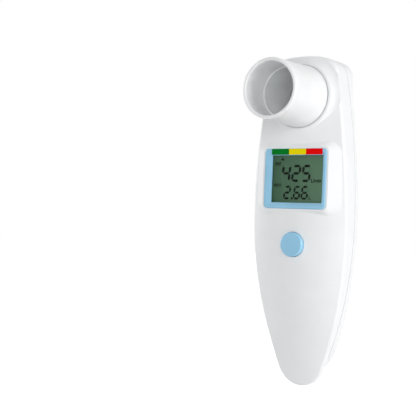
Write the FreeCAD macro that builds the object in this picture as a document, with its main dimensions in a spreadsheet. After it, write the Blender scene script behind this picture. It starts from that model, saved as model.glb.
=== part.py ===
import FreeCAD, Part

import math
import os
import re

import Sketcher
from FreeCAD import Rotation, Vector

# Hand-held electronic peak flow meter, in millimetres.
# +Z runs up the case, the display and the mouthpiece face -Y, and +X is on the
# right of someone who reads the display. The origin is at the middle of the
# handle, on the plane where the front and the rear halves of the case meet.

# Each driving dimension: alias, size, what it is
SIZES = [
    # case outline, seen from the front
    ("case_wall", 1.8, "wall of the case"),
    ("widest_half", 25.2, "half the width at the widest place"),
    ("widest_z", 30.0, "height of the widest place"),
    ("upper_side_radius", 367.0, "side arc above the widest place"),
    ("lower_side_radius", 194.0, "side arc below it"),
    ("tip_z", -49.0, "lower tip of the front half"),
    ("rear_tip_z", -43.5, "lower end of the rear half"),
    ("crown_z", 108.4, "top of the case"),
    ("crown_radius", 75.0, "arc over the top"),
    ("corner_radius", 9.0, "upper corners"),
    ("front_edge_radius", 1.4, "rounding of the front rim"),
    ("rear_edge_radius", 6.3, "rounding of the rear rim"),
    ("seam_width", 0.45, "width of the shadow gap behind the parting plane"),
    ("seam_depth", 0.45, "depth of that gap"),
    # depth of the case along its middle, and the cross radius of its face there
    ("tip_front", 2.0, "front of the case at the tip"),
    ("tip_back", 6.9, "back of the case at the height of the tip"),
    ("below_front", -0.5, "front past the tip, which shapes the end of the skin"),
    ("below_back", 3.8, "back past the tip, which shapes the end of the skin"),
    ("chin_z", -30.0, "height of the chin section"),
    ("chin_front", 5.5, "front at the chin"),
    ("chin_back", 11.5, "back at the chin"),
    ("grip_z", 0.0, "height of the grip section"),
    ("grip_front", 11.5, "front at the grip"),
    ("grip_back", 12.0, "back at the grip"),
    ("thumb_z", 19.0, "height of the section at the button"),
    ("thumb_front", 13.4, "front at the button"),
    ("panel_z", 50.0, "height of the section at the display"),
    ("panel_front", 12.9, "front at the display"),
    ("head_z", 89.3, "height of the section at the tube"),
    ("head_front", 10.6, "front at the tube"),
    ("head_back", 11.4, "back at the tube"),
    ("handle_cross_radius", 51.0, "cross radius of the handle's front"),
    ("thumb_cross_radius", 55.0, "cross radius of the front at the button"),
    ("panel_cross_radius", 79.0, "cross radius of the front at the display"),
    ("head_cross_radius", 260.0, "cross radius of the front at the tube"),
    ("back_cross_radius", 54.0, "cross radius of the handle's back"),
    ("head_back_cross_radius", 62.0, "cross radius of the head's back"),
    # flow path
    ("flow_z", 89.3, "height of the flow axis"),
    ("bore_radius", 12.4, "bore of the mouthpiece and of the duct"),
    ("lip_radius", 14.0, "outside of the mouthpiece at its lip"),
    ("lip_front", 40.45, "depth of the lip before the parting plane"),
    ("lip_straight", 12.0, "straight outside behind the lip"),
    ("lip_round", 0.5, "rounding of the lip"),
    ("throat_depth", 16.0, "depth of the shoulder inside the mouthpiece"),
    ("throat_step", 0.6, "height of that shoulder"),
    ("foot_radius", 14.82, "outside of the mouthpiece at its foot"),
    ("spigot_radius", 13.6, "spigot that plugs into the duct"),
    ("spigot_length", 10.7, "length of the spigot"),
    ("socket_fit", 0.08, "radial clearance of the spigot"),
    ("seal_wire", 0.36, "section radius of the sealing ring"),
    ("seal_fit", 0.03, "clearance between the ring and the socket"),
    ("seal_groove_depth", 0.67, "depth of the ring's groove"),
    ("seal_groove_width", 1.2, "width of the ring's groove"),
    ("socket_wall", 1.5, "wall of the duct round the socket"),
    ("duct_wall", 1.6, "wall of the duct behind the socket"),
    ("duct_back", 12.3, "rear end of the duct"),
    ("collar_front", 11.7, "front of the collar before the parting plane"),
    ("collar_land", 1.0, "flat width of the collar"),
    ("collar_sweep", 4.7, "width of the concave sweep round the collar"),
    ("collar_height", 1.6, "height of the sweep"),
    ("collar_depth", 8.0, "depth of the collar behind its front"),
    ("mouth_gap", 0.25, "gap between the mouthpiece and the collar"),
    ("case_fit", 0.05, "fit between fixed pieces"),
    ("tube_set_back", 0.1, "front of the duct behind the collar's front"),
    ("socket_spare", 0.2, "gap behind the spigot"),
    ("step_wall", 1.4, "wall of the step behind the socket"),
    ("outlet_ring", 2.8, "width of the ring round the outlet"),
    ("outlet_proud", 1.0, "height of that ring over the back"),
    ("outlet_depth", 4.0, "how far that ring reaches into the case"),
    ("outlet_round", 0.9, "rounding of that ring"),
    # turbine
    ("stator_length", 2.8, "length of each stator"),
    ("stator_ring", 0.8, "thickness of the stator's ring"),
    ("stator_hub", 2.4, "radius of the stator's hub"),
    ("stator_y", 0.3, "front of the front stator"),
    ("vane_count", 6, "swirl vanes of each stator"),
    ("vane_thickness", 0.6, "thickness of a swirl vane"),
    ("vane_angle", 32.0, "angle of a swirl vane to the flow, at its tip"),
    ("vane_root_share", 0.45, "share of that angle at the hub"),
    ("vane_sink", 0.3, "how far a vane runs into hub and ring"),
    ("vane_trim", 0.05, "stator beyond the ends of its vanes"),
    ("bearing_sink", 0.05, "gap behind a bearing"),
    ("rotor_gap", 0.6, "gap between rotor and stator"),
    ("rotor_length", 2.6, "length of the rotor vane along the flow"),
    ("rotor_radius", 11.2, "half span of the rotor vane"),
    ("rotor_thickness", 0.5, "thickness of the rotor vane"),
    ("rotor_hub", 1.3, "radius of the rotor's hub"),
    ("axle_radius", 0.4, "radius of the rotor's axle"),
    ("axle_fit", 0.04, "radial clearance of the axle"),
    ("bearing_radius", 1.1, "outside of the jewel bearing"),
    ("bearing_length", 1.4, "length of the jewel bearing"),
    # light gate
    ("gate_radius", 1.5, "radius of emitter and detector"),
    ("gate_flange", 1.9, "radius of their flange"),
    ("gate_length", 3.2, "length of their barrel"),
    ("gate_set_back", 0.2, "their tip outside the bore"),
    ("gate_flange_depth", 0.8, "thickness of their flange"),
    ("axle_end", 0.1, "end play of the axle"),
    ("gate_lead", 0.45, "thickness of a lead"),
    ("gate_pitch", 2.54, "distance between the two leads"),
    # display
    ("display_z", 50.0, "middle of the display frame"),
    ("bezel_width", 33.3, "width of the display frame"),
    ("bezel_height", 28.5, "height of the display frame"),
    ("bezel_front", 14.0, "front of the frame before the parting plane"),
    ("bezel_depth", 1.2, "thickness of the frame"),
    ("bezel_corner", 1.9, "corner radius of the frame"),
    ("bezel_side", 3.0, "mean width of the frame at the sides"),
    ("window_shift", 0.85, "how far the opening lies right of the middle"),
    ("bezel_bottom", 2.85, "width of the frame at the bottom"),
    ("bezel_top", 3.15, "width of the frame at the top"),
    ("bezel_round", 0.3, "rounding of the frame's outer edge"),
    ("label_margin", 0.3, "frame above the zone label"),
    ("label_height", 2.6, "height of the zone label"),
    ("label_thickness", 0.12, "thickness of the zone label"),
    ("pad_front", 13.6, "front of the raised pad"),
    ("pad_margin", 0.9, "pad round the frame"),
    ("pad_corner", 3.0, "corner radius of the pad"),
    ("pad_foot_side", 5.4, "slope of the pad at the sides"),
    ("pad_foot_end", 4.2, "slope of the pad at top and bottom"),
    ("pad_foot_depth", 4.2, "depth over which the pad slopes"),
    ("pad_foot_corner", 8.0, "corner radius at the foot of the pad"),
    ("window_front", 12.9, "front of the clear window"),
    ("window_thickness", 1.0, "thickness of the window"),
    ("window_rim", 0.9, "rim of the window behind the frame"),
    ("window_rim_thickness", 0.85, "thickness of that rim"),
    ("window_clear", 0.15, "clearance round the window and the LCD"),
    ("lcd_thickness", 1.8, "thickness of the LCD"),
    ("holder_half", 15.4, "half width of the LCD holder"),
    ("holder_height", 28.0, "height of the LCD holder"),
    ("holder_front", 9.1, "front of the LCD holder"),
    ("strip_width", 2.0, "width of an elastomer strip"),
    ("strip_half", 12.4, "half length of an elastomer strip"),
    ("strip_margin", 2.4, "holder beyond a strip"),
    ("strip_clear", 0.1, "clearance round a strip"),
    ("rest_gap", 0.4, "distance of the LCD's rests from the strips"),
    ("rest_width", 1.4, "width of those rests"),
    ("rest_sink", 0.5, "how far they run into the holder"),
    ("holder_rim", 3.0, "rim of the holder round its middle opening"),
    # button
    ("button_z", 18.9, "height of the button"),
    ("button_radius", 5.84, "radius of the button"),
    ("button_front", 15.3, "front of the button"),
    ("button_gap", 0.18, "gap round the button"),
    ("button_edge", 0.7, "rounding of the button"),
    ("button_flange", 7.2, "radius of the button's flange"),
    ("button_flange_front", 10.7, "front of the flange"),
    ("button_flange_depth", 0.9, "thickness of the flange"),
    ("sleeve_wall", 1.4, "wall of the sleeve that guides the button"),
    ("flange_gap", 0.2, "gap between the sleeve and the button's flange"),
    ("button_stem", 1.5, "radius of the button's stem"),
    ("button_travel", 0.5, "travel of the button"),
    ("switch_side", 6.0, "side of the tact switch"),
    ("switch_height", 3.4, "height of the tact switch"),
    ("plunger_radius", 1.75, "radius of the switch plunger"),
    ("plunger_proud", 0.85, "height of the plunger over the switch"),
    ("plunger_depth", 1.0, "length of the plunger inside the switch"),
    ("plunger_fit", 0.1, "clearance round the plunger"),
    ("plunger_spare", 0.3, "room behind the pressed plunger"),
    # main board
    ("board_front", 5.0, "front of the board before the parting plane"),
    ("board_thickness", 1.2, "thickness of the board"),
    ("board_half", 16.2, "half width of the board"),
    ("board_low_z", 12.0, "lower end of the board"),
    ("board_step_z", 65.0, "height where the board widens"),
    ("arm_half", 17.9, "half width over the board's arms"),
    ("arm_top_z", 92.0, "upper end of the arms"),
    ("board_screw_x", 13.2, "place of the board screws"),
    ("board_screw_z", 27.5, "height of the board screws"),
    ("board_clear", 0.3, "clearance between the board and the duct"),
    ("hole_clear", 0.15, "clearance of the board's screw holes"),
    ("chip_height", 0.8, "height of the small chips"),
    ("controller_side", 8.0, "side of the microcontroller"),
    ("controller_height", 1.1, "height of the microcontroller"),
    ("controller_x", 6.0, "place of the microcontroller"),
    ("buzzer_radius", 5.5, "radius of the buzzer"),
    ("buzzer_height", 2.6, "height of the buzzer"),
    ("buzzer_x", 8.0, "distance of the buzzer from the middle"),
    # fasteners
    ("case_screw_upper_x", 19.2, "place of the upper case screws"),
    ("case_screw_upper_z", 60.0, "height of the upper case screws"),
    ("case_screw_lower_x", 19.6, "place of the lower case screws"),
    ("case_screw_lower_z", 28.6, "height of the lower case screws"),
    ("screw_radius", 0.85, "radius of the screw shank"),
    ("screw_head", 1.9, "radius of the screw head"),
    ("screw_head_height", 1.4, "height of the screw head"),
    ("screw_length", 8.0, "length of the case screw's shank"),
    ("board_screw_length", 4.4, "length of the board screw's shank"),
    ("pilot_spare", 1.0, "depth of a pilot hole past its screw"),
    ("slot_depth", 0.5, "depth of the slot in a screw head"),
    ("slot_half", 0.25, "half width of that slot"),
    ("shank_clear", 0.3, "clearance round the shank in the rear shell"),
    ("head_clear", 0.4, "clearance round the head in the rear shell"),
    ("boss_radius", 2.6, "radius of a screw boss"),
    ("rear_boss", 3.6, "radius of a screw boss in the rear shell"),
    ("board_boss", 2.2, "radius of a boss under the board"),
    ("screw_seat", 3.0, "depth of the screw seat behind the parting plane"),
    # battery bay
    ("cell_radius", 5.25, "radius of an AAA cell"),
    ("cell_length", 44.5, "length of an AAA cell with its nub"),
    ("nub_radius", 1.9, "radius of the cell's nub"),
    ("nub_length", 1.0, "length of the nub"),
    ("cell_x", 5.55, "distance of a cell from the middle"),
    ("cell_y", 4.2, "depth of the cells"),
    ("bay_low_z", -28.0, "lower inside of the battery tray"),
    ("bay_high_z", 20.9, "upper inside of the battery tray"),
    ("tray_wall", 0.7, "side wall of the tray"),
    ("tray_end", 1.2, "end wall of the tray"),
    ("tray_floor", 1.0, "floor of the tray"),
    ("tray_side_back", 4.2, "rear edge of the tray's sides"),
    ("tray_end_back", 7.4, "rear edge of the tray's ends"),
    ("tray_end_inset", 1.0, "inset of the tray's raised ends"),
    ("cell_side_clear", 0.1, "clearance beside the cells"),
    ("cell_floor_clear", 0.15, "clearance under the cells"),
    ("cell_end_clear", 0.1, "clearance between a cell and its contact"),
    ("contact_plate", 0.4, "thickness of a contact"),
    ("contact_half", 4.0, "half width of a contact"),
    ("contact_lift", 0.3, "front edge of a contact behind the cell's front"),
    ("lead_half", 1.0, "half width of a contact's lead"),
    ("lead_clear", 0.2, "clearance beside that lead in the tray"),
    ("leaf_thickness", 0.3, "thickness of a bowed contact leaf"),
    ("leaf_half_width", 2.0, "half width of a bowed contact leaf"),
    ("leaf_half_span", 3.4, "half the distance between its two feet"),
    ("leaf_sink", 0.1, "how far its feet run into the plate"),
    ("post_radius", 1.8, "radius of the posts under the tray"),
    ("post_inset", 13.0, "distance of those posts from the bay's ends"),
    # battery cover
    ("cover_top_z", 24.0, "height of the joint between rear shell and cover"),
    ("cover_gap", 0.2, "gap round the battery cover"),
    ("grip_ribs", 5, "grip ribs on the cover"),
    ("grip_pitch", 2.2, "distance between the ribs"),
    ("grip_half", 6.5, "half length of a rib"),
    ("grip_rib", 0.9, "thickness of a rib"),
    ("grip_proud", 0.45, "height of a rib"),
    ("grip_low_z", 6.0, "lowest rib"),
    ("tongue_half", 2.2, "half width of the cover's tongue"),
    ("tongue_thickness", 1.2, "thickness of the tongue"),
    ("tongue_reach", 2.0, "reach of the tongue under the rear shell"),
    ("tongue_root", 2.4, "length of the tongue under the cover"),
    ("tongue_gap", 0.3, "gap between the tongue and the rear shell"),
    ("rail_width", 0.8, "width of the rail on each side of the tray"),
    ("rail_depth", 1.0, "depth of that rail"),
    ("hook_gap", 0.3, "gap between the cover's hooks and the rails"),
    ("hook_web", 1.2, "thickness of a hook's web"),
    ("hook_foot", 1.2, "depth of a hook's foot"),
    ("hook_length", 6.0, "length of a hook along the case"),
    ("hook_low_z", -20.0, "lower end of the lower pair of hooks"),
    ("hook_high_z", 6.0, "lower end of the upper pair of hooks"),
]

ALIASES = {alias for alias, size, note in SIZES}
WORD = re.compile(r"[a-z][a-z0-9_]*")
SKIN_REACH = 34.0  # half width of the lofted faces, past the case on each side
PAST_END = 11.0  # how far the lofted faces run past the case's ends
DEEP = 60.0  # longer than any cut needs

doc = FreeCAD.newDocument("peak_flow_meter")
sizes = doc.addObject("Spreadsheet::Sheet", "sizes")
nodes = []


# Sheet and expressions
def fill_sheet():
    for row, (alias, size, note) in enumerate(SIZES, start=1):
        sizes.set(f"A{row}", note)
        sizes.set(f"B{row}", str(size))
        sizes.setAlias(f"B{row}", alias)
    doc.recompute()


def bound(text):
    """The expression with each alias read from the sheet."""

    def cell(match):
        word = match.group(0)
        return f"sizes.{word}" if word in ALIASES else word

    return WORD.sub(cell, text)


fill_sheet()
reader = doc.addObject("App::FeaturePython", "reader")


def number(text):
    return float(reader.evalExpression(bound(text)))


def bind(thing, prop, text):
    thing.setExpression(prop, bound(text))


def place(thing, x="0", y="0", z="0"):
    for axis, text in zip("xyz", (x, y, z)):
        bind(thing, f"Placement.Base.{axis}", text)


def node(label, thing):
    """Names a finished sub-part."""
    thing.Label = label
    nodes.append(thing)
    return thing


def shaped(label, shape):
    """A sub-part whose shape comes from Part's own functions."""
    thing = doc.addObject("Part::Feature", label + "_form")
    thing.Shape = shape
    return node(label, thing)


# Primitives bound to the sheet; a range is a pair of expressions
def box(name, x, y, z):
    thing = doc.addObject("Part::Box", name)
    for prop, (low, high) in (("Length", x), ("Width", y), ("Height", z)):
        bind(thing, prop, f"({high}) - ({low})")
    place(thing, x[0], y[0], z[0])
    return thing


def rod(name, radius, axis, span, at):
    """A cylinder along x, y or z; at holds its two other coordinates."""
    thing = doc.addObject("Part::Cylinder", name)
    low, high = span
    bind(thing, "Radius", radius)
    bind(thing, "Height", f"({high}) - ({low})")
    if axis == "x":
        thing.Placement.Rotation = Rotation(Vector(0, 1, 0), 90)
        place(thing, low, at[0], at[1])
    elif axis == "y":
        thing.Placement.Rotation = Rotation(Vector(1, 0, 0), -90)
        place(thing, at[0], low, at[1])
    else:
        place(thing, at[0], at[1], low)
    return thing


def joined(name, things):
    thing = doc.addObject("Part::MultiFuse", name)
    thing.Shapes = things
    return thing


def cut(name, base, tool):
    thing = doc.addObject("Part::Cut", name)
    thing.Base = base
    thing.Tool = tool
    return thing


def group(name, things):
    """Separate solids kept in one node."""
    thing = doc.addObject("Part::Compound", name)
    thing.Links = things
    return thing


# Sketched bodies
def sketch_on(body, role, name):
    plane = [item for item in body.Origin.OriginFeatures if item.Role == role][0]
    sketch = body.newObject("Sketcher::SketchObject", name)
    sketch.AttachmentSupport = [(plane, "")]
    sketch.MapMode = "FlatFace"
    return sketch


def draw_path(sketch, points):
    """A closed path of straight lines, each corner held by two bound distances."""
    first = sketch.GeometryCount
    places = [Vector(number(a), number(b), 0) for a, b in points]
    count = len(points)
    for index in range(count):
        line = Part.LineSegment(places[index], places[(index + 1) % count])
        sketch.addGeometry(line)
    for index in range(count):
        following = first + (index + 1) % count
        meet = Sketcher.Constraint("Coincident", first + index, 2, following, 1)
        sketch.addConstraint(meet)
    for index, corner in enumerate(points):
        values = (places[index].x, places[index].y)
        for kind, text, value in zip(("DistanceX", "DistanceY"), corner, values):
            size = Sketcher.Constraint(kind, -1, 1, first + index, 1, value)
            row = sketch.addConstraint(size)
            sketch.setExpression(f"Constraints[{row}]", bound(text))


def turned(label, profile, x="0", z="flow_z"):
    """A body turned about a line along Y; the profile holds (radius, y) pairs."""
    body = doc.addObject("PartDesign::Body", label + "_body")
    sketch = sketch_on(body, "XY_Plane", label + "_profile")
    draw_path(sketch, profile)
    turn = body.newObject("PartDesign::Revolution", label + "_turn")
    turn.Profile = sketch
    turn.ReferenceAxis = (sketch, ["V_Axis"])
    turn.Angle = 360
    place(body, x, "0", z)
    return body


def rectangle(x, z):
    return [(x[0], z[0]), (x[1], z[0]), (x[1], z[1]), (x[0], z[1])]


def plate(label, outline, back, thickness):
    """A body padded towards the front from the plane y = back."""
    body = doc.addObject("PartDesign::Body", label + "_body")
    sketch = sketch_on(body, "XZ_Plane", label + "_outline")
    draw_path(sketch, outline)
    pad = body.newObject("PartDesign::Pad", label + "_pad")
    pad.Profile = sketch
    bind(pad, "Length", thickness)
    place(body, "0", back, "0")
    return body


def pocket(body, name, outline):
    """A pocket through the whole body, along Y."""
    sketch = sketch_on(body, "XZ_Plane", name + "_outline")
    draw_path(sketch, outline)
    hole = body.newObject("PartDesign::Pocket", name)
    hole.Profile = sketch
    hole.Type = "ThroughAll"
    hole.Midplane = True
    return hole


def along_y(edge):
    """True for a straight edge that runs front to back."""
    ends = [vertex.Point for vertex in edge.Vertexes]
    if len(ends) < 2:
        return False
    across = (ends[1] - ends[0]).cross(Vector(0, 1, 0)).Length
    return across < 1e-6


def round_corners(body, name, radius, wanted=along_y):
    doc.recompute()
    base = body.Tip
    edges = [
        f"Edge{index}"
        for index, edge in enumerate(base.Shape.Edges, start=1)
        if wanted(edge)
    ]
    fillet = body.newObject("PartDesign::Fillet", name)
    fillet.Base = (base, edges)
    bind(fillet, "Radius", radius)
    return fillet


# Case outline, made of arcs about fixed centres
def arc(centre, radius, start, end):
    """The arc from start to end, the short way round its centre."""
    middle = (start + end) * 0.5 - centre
    middle.normalize()
    return Part.Arc(start, centre + middle * radius, end).toShape()


def touch(centre, radius, other):
    """The point of a circle on the line from its centre through other."""
    way = other - centre
    way.normalize()
    return centre + way * radius


def flipped(point):
    return Vector(-point.x, point.y, point.z)


def case_outline(inset, tip):
    """The case seen from the front, with every side moved in by inset."""
    low_side = Vector(sizes.widest_half - sizes.lower_side_radius, 0, sizes.widest_z)
    high_side = Vector(sizes.widest_half - sizes.upper_side_radius, 0, sizes.widest_z)
    # nose: tangent inside both side arcs, with its lowest point at the tip
    reach = sizes.lower_side_radius
    rise = sizes.widest_z - tip
    top = reach**2 - rise**2 - low_side.x**2
    nose_radius = top / (2 * (reach - rise))
    nose = Vector(0, 0, tip + nose_radius)
    # upper corner: tangent inside the side arc and the crown arc
    crown = Vector(0, 0, sizes.crown_z - sizes.crown_radius)
    corner = meet(
        high_side,
        sizes.upper_side_radius - sizes.corner_radius,
        crown,
        sizes.crown_radius - sizes.corner_radius,
    )
    side_low = sizes.lower_side_radius - inset
    side_high = sizes.upper_side_radius - inset
    crown_arc = sizes.crown_radius - inset
    points = [
        Vector(0, 0, tip + inset),
        touch(low_side, side_low, nose + (nose - low_side)),
        Vector(sizes.widest_half - inset, 0, sizes.widest_z),
        touch(high_side, side_high, corner + (corner - high_side)),
        touch(crown, crown_arc, corner),
        Vector(0, 0, sizes.crown_z - inset),
    ]
    arcs = [
        (nose, nose_radius - inset),
        (low_side, side_low),
        (high_side, side_high),
        (corner, sizes.corner_radius - inset),
        (crown, crown_arc),
    ]
    edges = []
    for index, (centre, radius) in enumerate(arcs):
        start, end = points[index], points[index + 1]
        edges.append(arc(centre, radius, start, end))
        edges.append(arc(flipped(centre), radius, flipped(start), flipped(end)))
    return Part.Wire(Part.__sortEdges__(edges))


def meet(first, first_radius, second, second_radius):
    """The right-hand crossing of two circles in the plane y = 0."""
    line = second - first
    gap = line.Length
    along = (gap**2 + first_radius**2 - second_radius**2) / (2 * gap)
    off = math.sqrt(first_radius**2 - along**2)
    line.normalize()
    side = Vector(line.z, 0, -line.x)
    options = [first + line * along + side * off, first + line * along - side * off]
    return max(options, key=lambda point: point.z)


def cross_section(height, depth, radius, inset, side):
    """One arc across the case; side is -1 at the front and 1 at the back."""
    radius = radius - inset
    middle = side * (depth - inset)
    drop = radius - math.sqrt(radius**2 - SKIN_REACH**2)
    edge = middle - side * drop
    return Part.Wire(
        Part.Arc(
            Vector(-SKIN_REACH, edge, height),
            Vector(0, middle, height),
            Vector(SKIN_REACH, edge, height),
        ).toShape()
    )


def skin(inset, side):
    """The lofted front or back face of the case, made solid towards the inside."""
    s = sizes
    if side < 0:
        handle = s.handle_cross_radius
        rows = [
            (s.tip_z - PAST_END, s.below_front, handle),
            (s.tip_z, s.tip_front, handle),
            (s.chin_z, s.chin_front, handle),
            (s.grip_z, s.grip_front, handle),
            (s.thumb_z, s.thumb_front, s.thumb_cross_radius),
            (s.panel_z, s.panel_front, s.panel_cross_radius),
            (s.head_z, s.head_front, s.head_cross_radius),
            (s.crown_z + PAST_END, s.head_front, s.head_cross_radius),
        ]
    else:
        rows = [
            (s.tip_z - PAST_END, s.below_back, s.back_cross_radius),
            (s.tip_z, s.tip_back, s.back_cross_radius),
            (s.chin_z, s.chin_back, s.back_cross_radius),
            (s.grip_z, s.grip_back, s.back_cross_radius),
            (s.cover_top_z, s.grip_back, s.back_cross_radius),
            (s.panel_z, s.grip_back, s.back_cross_radius),
            (s.head_z, s.head_back, s.head_back_cross_radius),
            (s.crown_z + PAST_END, s.head_back, s.head_back_cross_radius),
        ]
    wires = [cross_section(*row, inset, side) for row in rows]
    face = Part.makeLoft(wires, False, False).Faces[0]
    return face.extrude(Vector(0, -side * DEEP, 0))


def prism(inset, tip, side):
    face = Part.Face(case_outline(inset, tip))
    return face.extrude(Vector(0, side * DEEP / 2, 0))


def is_rim(edge):
    """True for an edge of the outer rim, away from the parting plane."""
    deep = all(abs(vertex.Point.y) > 0.5 for vertex in edge.Vertexes)
    return deep and not along_y(edge)


def half_case(inset, tip, side, radius):
    """Front or rear half as a solid block, with its rim rounded."""
    block = prism(inset, tip, side).common(skin(inset, side))
    block = block.Solids[0]
    rim = [edge for edge in block.Edges if is_rim(edge)]
    return block.makeFillet(radius, rim)


def post(x, z, radius, low, high):
    return Part.makeCylinder(radius, high - low, Vector(x, low, z), Vector(0, 1, 0))


def slab(x, y, z):
    """A block between two corners, from three (low, high) pairs."""
    size = [high - low for low, high in (x, y, z)]
    return Part.makeBox(*size, Vector(x[0], y[0], z[0]))


def round_rectangle(half_width, half_height, radius, y, z):
    """A wire in a plane of constant y, centred over the height z."""
    block = slab(
        (-half_width, half_width),
        (y, y + 1),
        (z - half_height, z + half_height),
    )
    block = block.makeFillet(radius, [edge for edge in block.Edges if along_y(edge)])
    faces = [face for face in block.Faces if abs(face.CenterOfMass.y - y) < 1e-6]
    return faces[0].OuterWire


def display_pad():
    """The raised pad under the display frame, with sloping sides."""
    s = sizes
    half_width = s.bezel_width / 2 + s.pad_margin
    half_height = s.bezel_height / 2 + s.pad_margin
    top = round_rectangle(
        half_width, half_height, s.pad_corner, -s.pad_front, s.display_z
    )
    foot = round_rectangle(
        half_width + s.pad_foot_side,
        half_height + s.pad_foot_end,
        s.pad_foot_corner,
        -s.pad_front + s.pad_foot_depth,
        s.display_z,
    )
    return Part.makeLoft([foot, top], True, True)


def tube_hole():
    return sizes.spigot_radius + sizes.socket_fit + sizes.socket_wall + sizes.case_fit


def collar():
    """The collar round the tube, with a concave sweep down to the case."""
    s = sizes
    inner = tube_hole()
    land = inner + s.collar_land
    outer = land + s.collar_sweep
    front = -s.collar_front
    foot = front + s.collar_height
    back = front + s.collar_depth
    # the sweep is an arc that ends along the case, half of its angle from the middle
    radius = (s.collar_sweep**2 + s.collar_height**2) / (2 * s.collar_height)
    half_angle = math.asin(s.collar_sweep / radius) / 2
    hollow = Vector(
        outer - radius * math.sin(half_angle),
        foot - radius * (1 - math.cos(half_angle)),
        0,
    )
    profile = [
        Part.makeLine(Vector(inner, back, 0), Vector(inner, front, 0)),
        Part.makeLine(Vector(inner, front, 0), Vector(land, front, 0)),
        Part.Arc(Vector(land, front, 0), hollow, Vector(outer, foot, 0)).toShape(),
        Part.makeLine(Vector(outer, foot, 0), Vector(outer, back, 0)),
        Part.makeLine(Vector(outer, back, 0), Vector(inner, back, 0)),
    ]
    ring = Part.Face(Part.Wire(profile)).revolve(Vector(), Vector(0, 1, 0), 360)
    ring.translate(Vector(0, 0, s.flow_z))
    return ring


def case_screw_places():
    s = sizes
    rows = [
        (s.case_screw_upper_x, s.case_screw_upper_z),
        (s.case_screw_lower_x, s.case_screw_lower_z),
    ]
    return [(side * x, z) for x, z in rows for side in (-1, 1)]


def board_screw_places():
    return [(side * sizes.board_screw_x, sizes.board_screw_z) for side in (-1, 1)]


def tray_post_places():
    s = sizes
    return [
        (side * s.cell_x, z)
        for z in (s.bay_low_z + s.post_inset, s.bay_high_z - s.post_inset)
        for side in (-1, 1)
    ]


def window_size():
    """Half width, low and high edge of the display opening in the frame."""
    s = sizes
    half = s.bezel_width / 2 - s.bezel_side
    low = s.display_z - s.bezel_height / 2 + s.bezel_bottom
    high = s.display_z + s.bezel_height / 2 - s.bezel_top
    return half, low, high


def front_shell():
    s = sizes
    outer = half_case(0, s.tip_z, -1, s.front_edge_radius)
    limit = prism(0, s.tip_z, -1)
    outer = outer.fuse([display_pad().common(limit), collar().common(limit)])
    cavity = prism(s.case_wall, s.rear_tip_z, -1).common(skin(s.case_wall, -1))
    shell = outer.cut(cavity)
    bosses = [
        post(x, z, s.boss_radius, -DEEP / 4, 0) for x, z in case_screw_places()
    ]
    floor = s.cell_y - s.cell_radius - s.cell_floor_clear - s.tray_floor
    bosses += [post(x, z, s.post_radius, -DEEP / 4, floor) for x, z in tray_post_places()]
    bosses += [
        post(x, z, s.board_boss, -DEEP / 4, -s.board_front)
        for x, z in board_screw_places()
    ]
    sleeve = s.button_radius + s.button_gap + s.sleeve_wall
    sleeve_back = -s.button_flange_front - s.flange_gap
    bosses.append(post(0, s.button_z, sleeve, -DEEP / 4, sleeve_back))
    shell = shell.fuse([boss.common(outer) for boss in bosses])
    half, low, high = window_size()
    margin = s.window_rim + s.window_clear
    holes = [
        post(0, s.flow_z, tube_hole(), -DEEP / 2, 0),
        post(0, s.button_z, s.button_radius + s.button_gap, -DEEP / 2, 0),
        slab(
            (s.window_shift - half - margin, s.window_shift + half + margin),
            (-DEEP / 2, -s.board_front),
            (low - margin, high + margin),
        ),
        bezel_block(s.case_fit, -s.bezel_front - 1, -s.bezel_front + s.bezel_depth),
    ]
    pilot = s.screw_radius + s.case_fit
    holes += [
        post(x, z, pilot, s.screw_seat - s.screw_length - s.pilot_spare, s.screw_seat)
        for x, z in case_screw_places()
    ]
    board_back = -s.board_front + s.board_thickness
    holes += [
        post(x, z, pilot, board_back - s.board_screw_length - s.pilot_spare, board_back)
        for x, z in board_screw_places()
    ]
    return shell.cut(holes).removeSplitter()


def bezel_block(grow, front, back):
    """The outside of the display frame as a block, grown by its fit."""
    s = sizes
    wire = round_rectangle(
        s.bezel_width / 2 + grow,
        s.bezel_height / 2 + grow,
        s.bezel_corner + grow,
        front,
        s.display_z,
    )
    return Part.Face(wire).extrude(Vector(0, back - front, 0))


def shadow_gap():
    """The groove that runs round the rear half along the parting plane."""
    s = sizes
    around = Part.Face(case_outline(-s.case_wall, s.rear_tip_z))
    inside = Part.Face(case_outline(s.seam_depth, s.rear_tip_z))
    return around.cut(inside).extrude(Vector(0, s.seam_width, 0))


def rear_case():
    """The whole rear half with its cavity, before it is parted in two."""
    s = sizes
    outer = half_case(0, s.rear_tip_z, 1, s.rear_edge_radius).cut(shadow_gap())
    cavity = half_case(s.case_wall, s.rear_tip_z, 1, s.rear_edge_radius - s.case_wall)
    return outer, outer.cut(cavity)


def rear_shell():
    s = sizes
    outer, shell = rear_case()
    duct = s.bore_radius + s.duct_wall + s.case_fit
    ring_back = s.head_back + s.outlet_proud
    ring_front = s.head_back - s.outlet_depth
    ring = post(0, s.flow_z, duct + s.outlet_ring, ring_front, ring_back)
    rounded = [edge for edge in ring.Edges if abs(edge.CenterOfMass.y - ring_back) < 1e-6]
    ring = ring.makeFillet(s.outlet_round, rounded)
    bosses = [
        post(x, z, s.rear_boss, 0, DEEP / 4).common(outer)
        for x, z in case_screw_places()
    ]
    shell = shell.fuse([ring] + bosses)
    holes = [post(0, s.flow_z, duct, 0, DEEP / 2)]
    for x, z in case_screw_places():
        holes.append(post(x, z, s.screw_radius + s.shank_clear, -1, DEEP / 4))
        holes.append(post(x, z, s.screw_head + s.head_clear, s.screw_seat, DEEP / 4))
    above = slab((-DEEP, DEEP), (-1, DEEP), (s.cover_top_z, s.crown_z + DEEP))
    return shell.cut(holes).common(above).removeSplitter()


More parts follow.
